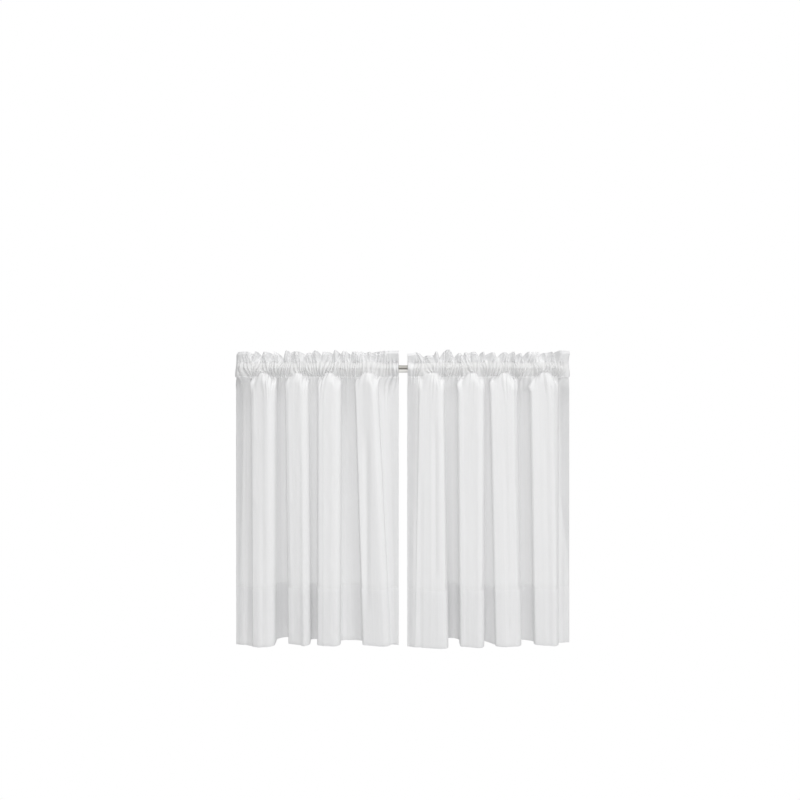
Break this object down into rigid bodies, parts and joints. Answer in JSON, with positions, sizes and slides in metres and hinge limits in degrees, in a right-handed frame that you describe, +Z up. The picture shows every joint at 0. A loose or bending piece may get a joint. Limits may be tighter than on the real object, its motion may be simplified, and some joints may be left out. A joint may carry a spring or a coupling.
{
  "type": "cafe curtain pair and curtain rod",
  "caption": "Pair of short sheer cafe curtains gathered by their rod pockets on one wall rod, with ruffled headings, four soft folds each and deep plain hems.",
  "frame": {"origin": "the point of the wall midway between the rod's two ends, level with the rod's axis", "axes": "+Z up, +X to the viewer's right along the rod, +Y into the wall; the curtains face -Y"},
  "size_m": [0.8664, 0.1031, 0.7569],
  "materials": {
    "rod": "ivory enamel on thin steel, satin",
    "voile": "semi-sheer white voile, matte"
  },
  "bodies": {
    "root": {"curtain_rod": "rod", "panel_left": "voile", "panel_right": "voile"}
  },
  "joints": []
}
